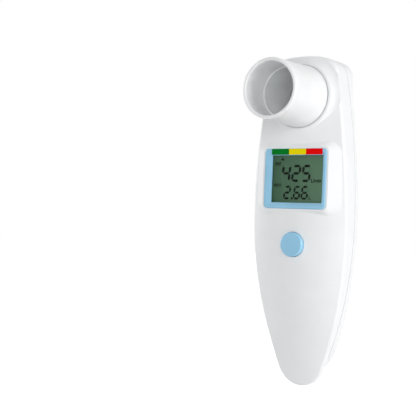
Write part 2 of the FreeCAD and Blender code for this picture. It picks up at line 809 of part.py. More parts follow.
def battery_cover():
    s = sizes
    outer, shell = rear_case()
    grown = prism(0, s.rear_tip_z, 1).common(skin(-s.grip_proud, 1))
    ribs = []
    for index in range(int(s.grip_ribs)):
        low = s.grip_low_z + index * s.grip_pitch
        bar = slab((-s.grip_half, s.grip_half), (s.cell_y, DEEP), (low, low + s.grip_rib))
        ribs.append(bar.common(grown).cut(outer))
    inside = s.grip_back - s.case_wall
    top = s.cover_top_z - s.cover_gap
    root_low = s.cover_top_z - s.tongue_root
    width = (-s.tongue_half, s.tongue_half)
    tongue_back = inside - s.tongue_gap
    side = s.cell_x + s.cell_radius + s.cell_side_clear + s.tray_wall
    web_in = side + s.rail_width + s.hook_gap
    foot_back = s.tray_side_back - s.rail_depth - s.hook_gap
    foot_front = foot_back - s.hook_foot
    hooks = []
    for low in (s.hook_low_z, s.hook_high_z):
        span = (low, low + s.hook_length)
        for way in (-1, 1):
            web_x = sorted((way * web_in, way * (web_in + s.hook_web)))
            foot_x = sorted((way * (side + s.hook_gap), way * web_in))
            hooks.append(slab(web_x, (foot_front, s.grip_back), span).common(outer))
            hooks.append(slab(foot_x, (foot_front, foot_back), span))
    tongue = slab(
        width,
        (tongue_back - s.tongue_thickness, tongue_back),
        (root_low, s.cover_top_z + s.tongue_reach),
    )
    root = slab(width, (tongue_back, inside + s.tongue_gap), (root_low, top))
    below = slab((-DEEP, DEEP), (s.cover_gap, DEEP), (s.tip_z - 1, top))
    cover = shell.common(below)
    return cover.fuse(ribs + hooks + [tongue, root]).removeSplitter()


# Flow path
FLOW_SOCKET = "spigot_radius + socket_fit"
SHOULDER = "-collar_front - mouth_gap"
SPIGOT_END = "-collar_front - mouth_gap + spigot_length"


def mouthpiece():
    groove = "-collar_front - mouth_gap + spigot_length / 2"
    groove_floor = "spigot_radius - seal_groove_depth"
    profile = [
        ("bore_radius - throat_step", SPIGOT_END),
        ("bore_radius - throat_step", "-lip_front + throat_depth"),
        ("bore_radius", "-lip_front + throat_depth"),
        ("bore_radius", "-lip_front"),
        ("lip_radius", "-lip_front"),
        ("lip_radius", "-lip_front + lip_straight"),
        ("foot_radius", SHOULDER),
        ("spigot_radius", SHOULDER),
        ("spigot_radius", groove),
        (groove_floor, groove),
        (groove_floor, f"{groove} + seal_groove_width"),
        ("spigot_radius", f"{groove} + seal_groove_width"),
        ("spigot_radius", SPIGOT_END),
    ]
    body = turned("mouthpiece", profile)

    def is_lip(edge):
        return edge.CenterOfMass.y < -sizes.lip_front + 1e-3

    round_corners(body, "mouthpiece_lip", "lip_round", is_lip)
    return node("mouthpiece", body)


def mouthpiece_seal():
    seal = doc.addObject("Part::Torus", "seal_ring")
    bind(seal, "Radius1", "spigot_radius + socket_fit - seal_wire - seal_fit")
    bind(seal, "Radius2", "seal_wire")
    seal.Placement.Rotation = Rotation(Vector(1, 0, 0), -90)
    place(
        seal,
        "0",
        "-collar_front - mouth_gap + spigot_length / 2 + seal_groove_width / 2",
        "flow_z",
    )
    return node("mouthpiece_seal", seal)


def flow_tube():
    socket_end = f"{SPIGOT_END} + socket_spare"
    step = f"{socket_end} + step_wall"
    front = "-collar_front + tube_set_back"
    socket_outer = f"{FLOW_SOCKET} + socket_wall"
    profile = [
        (FLOW_SOCKET, front),
        (socket_outer, front),
        (socket_outer, step),
        ("bore_radius + duct_wall", step),
        ("bore_radius + duct_wall", "duct_back"),
        ("bore_radius", "duct_back"),
        ("bore_radius", socket_end),
        (FLOW_SOCKET, socket_end),
    ]
    body = turned("flow_tube", profile)
    windows = rod("gate_windows", "gate_radius + case_fit", "x", ("-arm_half", "arm_half"), GATE)
    return node("flow_tube", cut("flow_tube_cut", body, windows))


# Turbine: where each stage starts along the flow
REAR_STATOR_Y = "stator_y + stator_length + 2 * rotor_gap + rotor_length"
ROTOR_Y = "stator_y + stator_length + rotor_gap"
GATE = (f"{ROTOR_Y} + rotor_length / 2", "flow_z")


def swirl_vane(hand):
    """One swirl vane, lofted from the hub to the ring with a growing twist."""
    s = sizes
    middle = s.stator_length / 2
    ends = [
        (s.stator_hub - s.vane_sink, s.vane_root_share),
        (s.bore_radius - s.stator_ring + s.vane_sink, 1),
    ]
    wires = []
    for radius, share in ends:
        half = (middle - s.vane_trim) / math.cos(math.radians(s.vane_angle * share))
        thick = s.vane_thickness / 2
        corners = [
            Vector(radius, -half, -thick),
            Vector(radius, half, -thick),
            Vector(radius, half, thick),
            Vector(radius, -half, thick),
        ]
        turn = Rotation(Vector(1, 0, 0), hand * s.vane_angle * share)
        corners = [turn.multVec(corner) for corner in corners]
        wires.append(Part.makePolygon(corners + corners[:1]))
    return Part.makeLoft(wires, True, True)


def stator(start, hand):
    """Ring, hub with its bearing seat and swirl vanes, starting at y = start."""
    s = sizes
    outer = s.bore_radius - s.case_fit
    ring = post(0, 0, outer, -s.stator_length / 2, s.stator_length / 2)
    ring = ring.cut(post(0, 0, outer - s.stator_ring, -DEEP, DEEP))
    hub = post(0, 0, s.stator_hub, -s.stator_length / 2, s.stator_length / 2)
    vanes = []
    for index in range(int(s.vane_count)):
        vane = swirl_vane(hand)
        vane.rotate(Vector(), Vector(0, 1, 0), index * 360 / s.vane_count)
        vanes.append(vane)
    trim = post(0, 0, outer, -s.stator_length / 2, s.stator_length / 2)
    stage = ring.fuse([hub] + vanes).common(trim)
    seat = s.bearing_radius + s.case_fit
    inner = s.stator_length / 2 if hand > 0 else -s.stator_length / 2
    low, high = sorted((inner, inner - hand * (s.bearing_length + s.bearing_sink)))
    stage = stage.cut(post(0, 0, seat, low, high))
    stage.translate(Vector(0, start + s.stator_length / 2, s.flow_z))
    return stage.removeSplitter()


def turbine():
    shaped("front_stator", stator(number("stator_y"), 1))
    shaped("rear_stator", stator(number(REAR_STATOR_Y), -1))
    hole = "axle_radius + axle_fit"
    front_end = "stator_y + stator_length"
    for label, low, high in (
        ("front_bearing", f"{front_end} - bearing_length", front_end),
        ("rear_bearing", REAR_STATOR_Y, f"{REAR_STATOR_Y} + bearing_length"),
    ):
        ring = [
            (hole, low),
            ("bearing_radius", low),
            ("bearing_radius", high),
            (hole, high),
        ]
        node(label, turned(label, ring))
    axle_low = f"{front_end} - bearing_length + axle_end"
    axle_high = f"{REAR_STATOR_Y} + bearing_length - axle_end"
    axle = rod("axle", "axle_radius", "y", (axle_low, axle_high), ("0", "flow_z"))
    node("rotor_axle", axle)
    span = (ROTOR_Y, f"{ROTOR_Y} + rotor_length")
    blade = box(
        "blade",
        ("-rotor_radius", "rotor_radius"),
        span,
        ("flow_z - rotor_thickness / 2", "flow_z + rotor_thickness / 2"),
    )
    hub = rod("rotor_hub", "rotor_hub", "y", span, ("0", "flow_z"))
    bore = rod("rotor_bore", "axle_radius", "y", span, ("0", "flow_z"))
    node("rotor_vane", cut("rotor", joined("rotor_solid", [blade, hub]), bore))


def light_gate(label, side):
    """Emitter or detector: barrel, flange and two leads down to the board."""
    tip = "bore_radius + gate_set_back"
    barrel_end = f"{tip} + gate_length"
    flange_end = f"{barrel_end} + gate_flange_depth"

    def span(low, high):
        if side > 0:
            return (low, high)
        return (f"-({high})", f"-({low})")

    barrel = rod(label + "_barrel", "gate_radius", "x", span(tip, barrel_end), GATE)
    flange = rod(
        label + "_flange", "gate_flange", "x", span(barrel_end, flange_end), GATE
    )
    leads = []
    for index, way in enumerate(("-", "+")):
        middle = f"flow_z {way} gate_pitch / 2"
        lead = box(
            f"{label}_lead_{index}",
            span(f"{flange_end} - gate_lead", flange_end),
            ("-board_front + board_thickness", GATE[0]),
            (f"{middle} - gate_lead / 2", f"{middle} + gate_lead / 2"),
        )
        leads.append(lead)
    return node(label, joined(label + "_solid", [barrel, flange] + leads))


# Display
WINDOW_X = "bezel_width / 2 - bezel_side"
WINDOW_LOW = "display_z - bezel_height / 2 + bezel_bottom"
WINDOW_HIGH = "display_z + bezel_height / 2 - bezel_top"


def window_outline(grow):
    return rectangle(
        (f"window_shift - ({WINDOW_X}) - ({grow})", f"window_shift + {WINDOW_X} + ({grow})"),
        (f"{WINDOW_LOW} - ({grow})", f"{WINDOW_HIGH} + ({grow})"),
    )


def display_bezel():
    outline = rectangle(
        ("-bezel_width / 2", "bezel_width / 2"),
        ("display_z - bezel_height / 2", "display_z + bezel_height / 2"),
    )
    back = "-bezel_front + bezel_depth"
    body = plate("display_bezel", outline, back, "bezel_depth")
    round_corners(body, "bezel_corners", "bezel_corner")
    pocket(body, "bezel_window", window_outline("0"))

    def is_front_rim(edge):
        extent = edge.BoundBox
        across = abs(edge.CenterOfMass.x) > sizes.bezel_width / 2 - sizes.bezel_corner
        rise = abs(edge.CenterOfMass.z - sizes.display_z)
        along = rise > sizes.bezel_height / 2 - sizes.bezel_corner
        front = extent.YMax < -sizes.bezel_depth + 1e-3
        return front and extent.YLength < 1e-6 and (across or along)

    round_corners(body, "bezel_edge", "bezel_round", is_front_rim)
    return node("display_bezel", body)


def zone_label():
    high = "display_z + bezel_height / 2 - label_margin"
    label = box(
        "zone_strip",
        (f"window_shift - ({WINDOW_X})", f"window_shift + {WINDOW_X}"),
        ("-bezel_front - label_thickness", "-bezel_front"),
        (f"{high} - label_height", high),
    )
    return node("zone_label", label)


def display_window():
    face = plate(
        "window_face",
        window_outline("-case_fit"),
        "-window_front + window_thickness",
        "window_thickness",
    )
    rim = plate(
        "window_rim_plate",
        window_outline("window_rim"),
        "-window_front + window_thickness",
        "window_rim_thickness",
    )
    return node("display_window", joined("window_solid", [face, rim]))


def lcd_panel():
    front = "-window_front + window_thickness + case_fit"
    body = plate(
        "lcd_panel",
        window_outline("window_rim - case_fit"),
        f"{front} + lcd_thickness",
        "lcd_thickness",
    )
    return node("lcd_panel", body)


LCD_BACK = "-window_front + window_thickness + case_fit + lcd_thickness"
STRIP_TOP = "display_z + holder_height / 2 - strip_margin"
STRIP_LOW = "display_z - holder_height / 2 + strip_margin"


def strip_rows():
    """The two slots of the elastomer strips, as pairs of heights."""
    return [
        (f"{STRIP_TOP} - strip_width", STRIP_TOP),
        (STRIP_LOW, f"{STRIP_LOW} + strip_width"),
    ]


def lcd_holder():
    """Plastic frame between the LCD and the board, open in the middle."""
    outline = rectangle(
        ("-holder_half", "holder_half"),
        ("display_z - holder_height / 2", "display_z + holder_height / 2"),
    )
    body = plate("lcd_holder", outline, "-board_front", "holder_front - board_front")
    for index, row in enumerate(strip_rows()):
        slot = rectangle(
            ("-strip_half - strip_clear", "strip_half + strip_clear"),
            (f"{row[0]} - strip_clear", f"{row[1]} + strip_clear"),
        )
        pocket(body, f"strip_slot_{index}", slot)
    low = f"{STRIP_LOW} + strip_width + rest_gap"
    high = f"{STRIP_TOP} - strip_width - rest_gap"
    low_end = f"{low} + rest_width"
    high_end = f"{high} - rest_width"
    middle = rectangle(
        ("-holder_half + holder_rim", "holder_half - holder_rim"),
        (f"{low_end} + case_fit", f"{high_end} - case_fit"),
    )
    pocket(body, "holder_window", middle)
    rests = [
        box(
            f"lcd_rest_{index}",
            ("-strip_half", "strip_half"),
            (f"{LCD_BACK} + case_fit", "-holder_front + rest_sink"),
            row,
        )
        for index, row in enumerate([(low, low_end), (high_end, high)])
    ]
    return node("lcd_holder", joined("holder_solid", [body] + rests))


def contact_strips():
    strips = [
        box(
            f"strip_{index}",
            ("-strip_half", "strip_half"),
            (f"{LCD_BACK} + case_fit", "-board_front"),
            row,
        )
        for index, row in enumerate(strip_rows())
    ]
    return node("contact_strips", group("strip_pair", strips))


# Button and switch
SWITCH_FRONT = "-board_front - switch_height"


def power_button():
    flange_back = "-button_flange_front + button_flange_depth"
    stem_end = f"{SWITCH_FRONT} - plunger_proud - case_fit"
    profile = [
        ("0", "-button_front"),
        ("button_radius", "-button_front"),
        ("button_radius", "-button_flange_front"),
        ("button_flange", "-button_flange_front"),
        ("button_flange", flange_back),
        ("button_stem", flange_back),
        ("button_stem", stem_end),
        ("0", stem_end),
    ]
    body = turned("power_button", profile, "0", "button_z")

    def is_front(edge):
        return edge.CenterOfMass.y < -sizes.button_front + 1e-3 and edge.Length > 1

    round_corners(body, "button_round", "button_edge", is_front)
    return node("power_button", body)


def tact_switch():
    half = "switch_side / 2"
    case = box(
        "switch_case",
        (f"-{half}", half),
        (SWITCH_FRONT, "-board_front"),
        (f"button_z - {half}", f"button_z + {half}"),
    )
    hole = rod(
        "switch_hole",
        "plunger_radius + plunger_fit",
        "y",
        (SWITCH_FRONT, f"{SWITCH_FRONT} + plunger_depth + button_travel + plunger_spare"),
        ("0", "button_z"),
    )
    node("tact_switch", cut("switch_body", case, hole))
    plunger = rod(
        "plunger",
        "plunger_radius",
        "y",
        (f"{SWITCH_FRONT} - plunger_proud", f"{SWITCH_FRONT} + plunger_depth"),
        ("0", "button_z"),
    )
    node("switch_plunger", plunger)


# Board and what it carries
BOARD_BACK = "-board_front + board_thickness"


def main_board():
    """Board with two arms that reach up beside the tube."""
    notch = f"{FLOW_SOCKET} + socket_wall + board_clear"
    body = plate(
        "main_board",
        [
            ("-board_half", "board_low_z"),
            ("board_half", "board_low_z"),
            ("board_half", "board_step_z"),
            ("arm_half", "board_step_z + 1"),
            ("arm_half", "arm_top_z"),
            ("-arm_half", "arm_top_z"),
            ("-arm_half", "board_step_z + 1"),
            ("-board_half", "board_step_z"),
        ],
        BOARD_BACK,
        "board_thickness",
    )
    span = ("-board_front", "0")
    tools = [
        rod("board_notch", notch, "y", span, ("0", "flow_z")),
        box(
            "board_opening",
            (f"-({notch})", notch),
            span,
            ("flow_z", "arm_top_z"),
        ),
    ]
    for index, side in enumerate(("-", "")):
        x = f"{side}board_screw_x"
        at = (x, "board_screw_z")
        hole = rod(f"board_hole_{index}", "screw_radius + hole_clear", "y", span, at)
        tools.append(hole)
    return node("main_board", cut("board_cut", body, joined("board_tools", tools)))


def chip(name, x, z, half_x, half_z, height):
    """A small part soldered to the back of the board."""
    return box(
        name,
        (f"{x} - {half_x}", f"{x} + {half_x}"),
        (BOARD_BACK, f"{BOARD_BACK} + {height}"),
        (f"{z} - {half_z}", f"{z} + {half_z}"),
    )


def board_parts():
    half = "controller_side / 2"
    size = (half, half, "controller_height")
    node("microcontroller", chip("controller", "controller_x", "display_z", *size))
    disc = rod(
        "buzzer_disc",
        "buzzer_radius",
        "y",
        (BOARD_BACK, f"{BOARD_BACK} + buzzer_height"),
        ("-buzzer_x", "display_z"),
    )
    node("buzzer", disc)
    # each small chip: its place across and up the board, half width, half height
    places = [
        ("-10", "36", "1.5", "0.9"),
        ("-5", "36", "0.9", "0.6"),
        ("-2", "36", "0.9", "0.6"),
        ("5", "38", "2.4", "1.6"),
        ("11", "37", "0.8", "1.6"),
        ("4", "63", "1.6", "1.6"),
        ("9", "63", "0.6", "0.9"),
        ("-12", "62", "0.6", "0.9"),
    ]
    chips = [
        chip(f"chip_{index}", x, z, half_x, half_z, "chip_height")
        for index, (x, z, half_x, half_z) in enumerate(places)
    ]
    node("chip_parts", group("chip_group", chips))


def screw(name, x, z, seat, length):
    """A pan-head screw along Y: its head lies behind the seat."""
    head = rod(
        name + "_head",
        "screw_head",
        "y",
        (seat, f"{seat} + screw_head_height"),
        (x, z),
    )
    shank = rod(name + "_shank", "screw_radius", "y", (f"{seat} - ({length})", seat), (x, z))
    slot = box(
        name + "_slot",
        (f"{x} - screw_head", f"{x} + screw_head"),
        (f"{seat} + screw_head_height - slot_depth", f"{seat} + screw_head_height"),
        (f"{z} - slot_half", f"{z} + slot_half"),
    )
    return cut(name, joined(name + "_solid", [head, shank]), slot)


def fasteners():
    case = []
    for row in ("upper", "lower"):
        for index, side in enumerate(("-", "")):
            x = f"{side}case_screw_{row}_x"
            z = f"case_screw_{row}_z"
            name = f"case_screw_{row}_{index}_piece"
            case.append(screw(name, x, z, "screw_seat", "screw_length"))
    node("case_screws", group("case_screw_group", case))
    board = []
    for index, side in enumerate(("-", "")):
        x = f"{side}board_screw_x"
        name = f"board_screw_{index}_piece"
        board.append(screw(name, x, "board_screw_z", BOARD_BACK, "board_screw_length"))
    node("board_screws", group("board_screw_group", board))


# Battery bay
CELL_LOW = "bay_low_z + contact_plate + cell_end_clear"
CELL_HIGH = "bay_high_z - contact_plate - cell_end_clear"


def cell(label, x, low, nub_up):
    """An AAA cell along Z with its nub at one end."""
    high = f"{low} + cell_length"
    if nub_up:
        can = (low, f"{high} - nub_length")
        nub = (f"{high} - nub_length", high)
    else:
        can = (f"{low} + nub_length", high)
        nub = (low, f"{low} + nub_length")
    at = (x, "cell_y")
    can_rod = rod(label + "_can", "cell_radius", "z", can, at)
    nub_rod = rod(label + "_nub", "nub_radius", "z", nub, at)
    return node(label, joined(label + "_solid", [can_rod, nub_rod]))


def battery_tray():
    half = "cell_x + cell_radius + cell_side_clear"
    front = "cell_y - cell_radius - cell_floor_clear"
    outer = box(
        "tray_outer",
        (f"-({half}) - tray_wall", f"{half} + tray_wall"),
        (f"{front} - tray_floor", "tray_side_back"),
        ("bay_low_z - tray_end", "bay_high_z + tray_end"),
    )
    ends = [
        box(
            f"tray_end_{index}",
            (f"-({half}) + tray_end_inset", f"{half} - tray_end_inset"),
            ("tray_side_back - tray_wall", "tray_end_back"),
            span,
        )
        for index, span in enumerate(
            [
                ("bay_low_z - tray_end", "bay_low_z"),
                ("bay_high_z", "bay_high_z + tray_end"),
            ]
        )
    ]
    rails = box(
        "tray_rails",
        (f"-({half}) - tray_wall - rail_width", f"{half} + tray_wall + rail_width"),
        ("tray_side_back - rail_depth", "tray_side_back"),
        ("bay_low_z", "bay_high_z"),
    )
    hollow = box(
        "tray_hollow",
        (f"-({half})", half),
        (front, "tray_end_back"),
        ("bay_low_z", "bay_high_z"),
    )
    slots = [
        box(
            f"lead_slot_{index}",
            (f"{x} - lead_half - lead_clear", f"{x} + lead_half + lead_clear"),
            (f"{front} - tray_floor", front),
            ("bay_high_z - contact_plate - lead_clear", "bay_high_z"),
        )
        for index, x in enumerate(("-cell_x", "cell_x"))
    ]
    solid = joined("tray_solid", [outer, rails] + ends)
    return node(
        "battery_tray", cut("tray_cut", solid, joined("tray_tools", [hollow] + slots))
    )


def leaf(name, x, base, crest):
    """A bowed contact leaf that stands on its plate and reaches to the crest."""
    s = sizes
    x, base, crest = number(x), number(base), number(crest)
    way = math.copysign(1, crest - base)
    left = x - s.leaf_half_width
    foot = base - way * s.leaf_sink
    ends = []
    bows = []
    for inset in (0, s.leaf_thickness):
        half_span = s.leaf_half_span - inset
        start = Vector(left, s.cell_y - half_span, foot)
        top = Vector(left, s.cell_y, crest - way * inset)
        end = Vector(left, s.cell_y + half_span, foot)
        ends.append((start, end))
        bows.append(Part.Arc(start, top, end).toShape())
    feet = [Part.makeLine(ends[0][side], ends[1][side]) for side in (0, 1)]
    outline = Part.Wire(Part.__sortEdges__(bows + feet))
    thing = doc.addObject("Part::Feature", name)
    thing.Shape = Part.Face(outline).extrude(Vector(2 * s.leaf_half_width, 0, 0))
    return thing


def contacts():
    low = ("bay_low_z", "bay_low_z + contact_plate")
    high = ("bay_high_z - contact_plate", "bay_high_z")
    front = "cell_y - cell_radius + contact_lift"
    back = "tray_end_back"
    across = ("-cell_x - contact_half", "cell_x + contact_half")
    bridge = box("bridge_plate", across, (front, back), low)
    left_low = f"{CELL_HIGH} - cell_length"
    bow = leaf("bridge_leaf", "-cell_x", low[1], f"{left_low} - cell_end_clear")
    node("bridge_contact", joined("bridge_metal", [bridge, bow]))
    right_high = f"{CELL_LOW} + cell_length"
    bow = leaf("top_leaf", "cell_x", high[0], f"{right_high} + cell_end_clear")
    for label, x, more in (
        ("positive_contact", "-cell_x", []),
        ("negative_contact", "cell_x", [bow]),
    ):
        wide = (f"{x} - contact_half", f"{x} + contact_half")
        narrow = (f"{x} - lead_half", f"{x} + lead_half")
        flat = box(label + "_plate", wide, (front, back), high)
        lead = box(label + "_lead", narrow, (BOARD_BACK, front), high)
        node(label, joined(label + "_metal", [flat, lead] + more))


def build():
    shaped("front_shell", front_shell())
    shaped("rear_shell", rear_shell())
    shaped("battery_cover", battery_cover())
    mouthpiece()
    mouthpiece_seal()
    flow_tube()
    turbine()
    light_gate("ir_emitter", -1)
    light_gate("ir_detector", 1)
    display_bezel()
    zone_label()
    display_window()
    lcd_panel()
    lcd_holder()
    contact_strips()
    power_button()
    tact_switch()
    main_board()
    board_parts()
    fasteners()
    cell("cell_left", "-cell_x", f"{CELL_HIGH} - cell_length", True)
    cell("cell_right", "cell_x", CELL_LOW, False)
    battery_tray()
    contacts()


def check_and_export():
    doc.recompute()
    for thing in doc.Objects:
        if "Invalid" in thing.State or "Error" in thing.State:
            raise RuntimeError(f"{thing.Name} did not compute: {thing.State}")
    for thing in nodes:
        if thing.Shape.isNull() or not thing.Shape.isValid():
            raise RuntimeError(f"{thing.Label} has no valid shape")
    os.makedirs("parts", exist_ok=True)
    for thing in nodes:
        thing.Shape.exportStep(f"parts/{thing.Label}.step")
        solids = len(thing.Shape.Solids)
        print(f"{thing.Label}: {solids} solid(s), {thing.Shape.Volume:.1f} mm3")


build()
check_and_export()
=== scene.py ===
import math

import bmesh
import bpy
from mathutils import Matrix, Vector


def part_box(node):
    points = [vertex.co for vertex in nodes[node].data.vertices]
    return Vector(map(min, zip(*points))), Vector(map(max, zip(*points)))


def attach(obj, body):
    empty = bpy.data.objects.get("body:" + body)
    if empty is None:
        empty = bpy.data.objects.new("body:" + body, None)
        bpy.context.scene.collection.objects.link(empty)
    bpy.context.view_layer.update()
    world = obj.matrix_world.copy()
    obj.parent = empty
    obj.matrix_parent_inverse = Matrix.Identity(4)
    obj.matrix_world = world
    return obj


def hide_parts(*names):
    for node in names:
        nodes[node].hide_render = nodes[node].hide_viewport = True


# Hand-held electronic peak flow meter: finishes, printed and etched detail,
# camera and light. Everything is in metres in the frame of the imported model:
# +Z runs up the case and the display faces -Y.

MM = 0.001

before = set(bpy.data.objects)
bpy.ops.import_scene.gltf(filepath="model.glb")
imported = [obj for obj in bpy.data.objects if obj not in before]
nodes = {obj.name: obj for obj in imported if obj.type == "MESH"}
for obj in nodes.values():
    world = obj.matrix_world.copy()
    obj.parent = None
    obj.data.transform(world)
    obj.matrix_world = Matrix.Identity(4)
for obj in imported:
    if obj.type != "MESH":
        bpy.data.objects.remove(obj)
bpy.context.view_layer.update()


# Shader helpers
def linear(code):
    """An sRGB hex colour as linear red, green, blue and alpha."""
    channels = []
    for start in (1, 3, 5):
        value = int(code[start : start + 2], 16) / 255
        if value <= 0.04045:
            channels.append(value / 12.92)
        else:
            channels.append(((value + 0.055) / 1.055) ** 2.4)
    return (*channels, 1.0)


def add(tree, kind, links=None, **settings):
    """Adds a node; links gives an input a value or the socket that feeds it."""
    made = tree.nodes.new(kind)
    for name, value in settings.items():
        setattr(made, name, value)
    for name, value in (links or {}).items():
        if isinstance(value, bpy.types.NodeSocket):
            tree.links.new(value, made.inputs[name])
        else:
            made.inputs[name].default_value = value
    return made


def new_material(name, **look):
    """A material with its Principled shader and the uniform values of its look."""
    made = bpy.data.materials.new(name)
    made.use_nodes = True
    shader = made.node_tree.nodes["Principled BSDF"]
    for socket, value in look.items():
        shader.inputs[socket.replace("_", " ")].default_value = value
    return made, made.node_tree, shader


def ramp(tree, factor, stops, interpolation="LINEAR"):
    """A colour ramp from (place, hex colour) stops."""
    made = add(tree, "ShaderNodeValToRGB", {"Fac": factor})
    band = made.color_ramp
    band.interpolation = interpolation
    while len(band.elements) < len(stops):
        band.elements.new(1.0)
    for element, (place, code) in zip(band.elements, stops):
        element.position = place
        element.color = linear(code)
    return made.outputs["Color"]


def along(tree, axis, low, high):
    """0 to 1 along one axis of the object, between two places in metres."""
    coordinates = add(tree, "ShaderNodeTexCoord").outputs["Object"]
    split = add(tree, "ShaderNodeSeparateXYZ", {"Vector": coordinates})
    span = {"Value": split.outputs[axis], "From Min": low, "From Max": high}
    return add(tree, "ShaderNodeMapRange", span).outputs["Result"]


# Noise seldom leaves this span, so a colour ramp puts its two tones there
NOISE_LOW = 0.3
NOISE_HIGH = 0.7
GRAIN_SHARE = 0.5


def two_tone(tree, factor, colour, shade, low=NOISE_LOW, high=NOISE_HIGH):
    """Two colours of one surface, mixed by a noise between low and high."""
    return ramp(tree, factor, [(low, colour), (high, shade)])


def multiplied(tree, colour, grain):
    """A colour darkened by a grain, at a share of its strength."""
    look = {"Factor": GRAIN_SHARE}
    mixed = add(tree, "ShaderNodeMix", look, data_type="RGBA", blend_type="MULTIPLY")
    tree.links.new(colour, mixed.inputs["A"])
    tree.links.new(grain, mixed.inputs["B"])
    return mixed.outputs["Result"]


def noise(tree, size, detail=2.0, roughness=0.5):
    """Noise whose features are about size metres across."""
    coordinates = add(tree, "ShaderNodeTexCoord").outputs["Object"]
    look = {
        "Vector": coordinates,
        "Scale": 1 / size,
        "Detail": detail,
        "Roughness": roughness,
    }
    return add(tree, "ShaderNodeTexNoise", look).outputs["Fac"]


def bump(tree, shader, height, depth):
    """Puts a height between 0 and 1 on the shader as relief of depth metres."""
    made = add(tree, "ShaderNodeBump", {"Height": height, "Distance": depth})
    tree.links.new(made.outputs["Normal"], shader.inputs["Normal"])


def uneven_gloss(tree, shader, factor, low, high):
    """Roughness that runs with a noise between two values."""
    spread = {"Value": factor, "To Min": low, "To Max": high}
    gloss = add(tree, "ShaderNodeMapRange", spread).outputs["Result"]
    tree.links.new(gloss, shader.inputs["Roughness"])


MOTTLE_SIZE = 9 * MM
MOTTLE_LOW = 0.35
PLASTIC_GLOSSIER = 0.05
PLASTIC_DULLER = 0.07


def moulded(name, colour, shade, roughness, grain, relief, **look):
    """Injection-moulded plastic: a fine grain from the tool and a faint mottle."""
    made, tree, shader = new_material(name, **look)
    mottle = noise(tree, MOTTLE_SIZE, detail=3.0)
    base = two_tone(tree, mottle, colour, shade, low=MOTTLE_LOW)
    tree.links.new(base, shader.inputs["Base Color"])
    texture = noise(tree, grain, detail=1.0)
    low, high = roughness - PLASTIC_GLOSSIER, roughness + PLASTIC_DULLER
    uneven_gloss(tree, shader, texture, low, high)
    bump(tree, shader, texture, relief)
    return made


# Case and flow path
def white_abs():
    """ABS from a finely eroded mould: white, even, with a soft sheen."""
    return moulded(
        "white_moulded_abs",
        "#F0F1F2",
        "#EDEFF0",
        roughness=0.36,
        grain=0.45 * MM,
        relief=0.004 * MM,
        IOR=1.53,
    )


def mouthpiece_polypropylene():
    """Polypropylene from a polished mould: white and waxy, smoother than the case."""
    return moulded(
        "white_polypropylene",
        "#F2F3F4",
        "#EDEFF0",
        roughness=0.30,
        grain=0.9 * MM,
        relief=0.003 * MM,
        IOR=1.49,
        Subsurface_Weight=0.5,
        Subsurface_Radius=(3.0 * MM, 3.0 * MM, 3.0 * MM),
        Subsurface_Scale=1.0,
    )


def duct_acetal():
    """Natural acetal for the duct and its swirl vanes: milky and slippery."""
    return moulded(
        "natural_acetal",
        "#D9DBDB",
        "#CDD0D0",
        roughness=0.34,
        grain=0.7 * MM,
        relief=0.003 * MM,
        IOR=1.48,
    )


def seal_nitrile():
    """Nitrile rubber for the sealing ring: black, dull, lightly dusted."""
    return moulded(
        "black_nitrile",
        "#1B1B1C",
        "#2A2A2B",
        roughness=0.62,
        grain=0.3 * MM,
        relief=0.01 * MM,
        IOR=1.52,
    )


def inner_abs():
    """Grey ABS for the pieces inside the case, left as it comes from the mould."""
    return moulded(
        "grey_inner_abs",
        "#B9BCBE",
        "#A9ADB0",
        roughness=0.45,
        grain=0.6 * MM,
        relief=0.008 * MM,
        IOR=1.53,
    )


def black_abs():
    """Black glass-filled plastic of switch and buzzer, with a dry grain."""
    return moulded(
        "black_filled_plastic",
        "#161718",
        "#242526",
        roughness=0.50,
        grain=0.25 * MM,
        relief=0.01 * MM,
        IOR=1.55,
    )


def blue_abs():
    """Satin light blue ABS of the display frame and the button."""
    return moulded(
        "light_blue_abs",
        "#96CCEA",
        "#90C6E4",
        roughness=0.20,
        grain=0.35 * MM,
        relief=0.003 * MM,
        IOR=1.53,
    )


def bearing_ruby():
    """Synthetic ruby, ground and polished: deep red and glassy."""
    made, tree, shader = new_material("polished_ruby", IOR=1.77, Roughness=0.08)
    colour = two_tone(tree, noise(tree, size=0.6 * MM), "#8C1230", "#B01C3F")
    tree.links.new(colour, shader.inputs["Base Color"])
    return made


def rotor_film():
    """Black polyester sheet for the turning vane, with fine scuffs along it."""
    return moulded(
        "black_polyester",
        "#101112",
        "#1D1E20",
        roughness=0.40,
        grain=0.4 * MM,
        relief=0.006 * MM,
        IOR=1.57,
    )


def diode_epoxy():
    """Infrared epoxy: nearly black, with a deep violet tint and a wet gloss."""
    made, tree, shader = new_material(
        "infrared_epoxy", IOR=1.55, Roughness=0.12, Coat_Weight=0.4
    )
    colour = two_tone(tree, noise(tree, size=1.2 * MM), "#120A16", "#22142A")
    tree.links.new(colour, shader.inputs["Base Color"])
    return made


# Metals
METAL_GLOSSIER = 0.06
METAL_DULLER = 0.1
MARK_DEPTH = 0.003 * MM


def rolled_metal(name, colour, shade, roughness, marks):
    """Metal with fine marks of its cutting or rolling, marks metres apart."""
    made, tree, shader = new_material(name, Metallic=1.0)
    scratches = noise(tree, marks, detail=4.0, roughness=0.7)
    base = two_tone(tree, scratches, colour, shade)
    tree.links.new(base, shader.inputs["Base Color"])
    low, high = roughness - METAL_GLOSSIER, roughness + METAL_DULLER
    uneven_gloss(tree, shader, scratches, low, high)
    bump(tree, shader, scratches, MARK_DEPTH)
    return made


def screw_steel():
    """Stainless steel of the screws and the axle, bright from the header."""
    return rolled_metal(
        "stainless_steel", "#B9BABB", "#A2A4A6", roughness=0.28, marks=0.25 * MM
    )


def contact_nickel():
    """Nickel-plated spring steel of the battery contacts, slightly yellow."""
    return rolled_metal(
        "nickel_plate", "#C6C2B8", "#B1ADA2", roughness=0.24, marks=0.4 * MM
    )


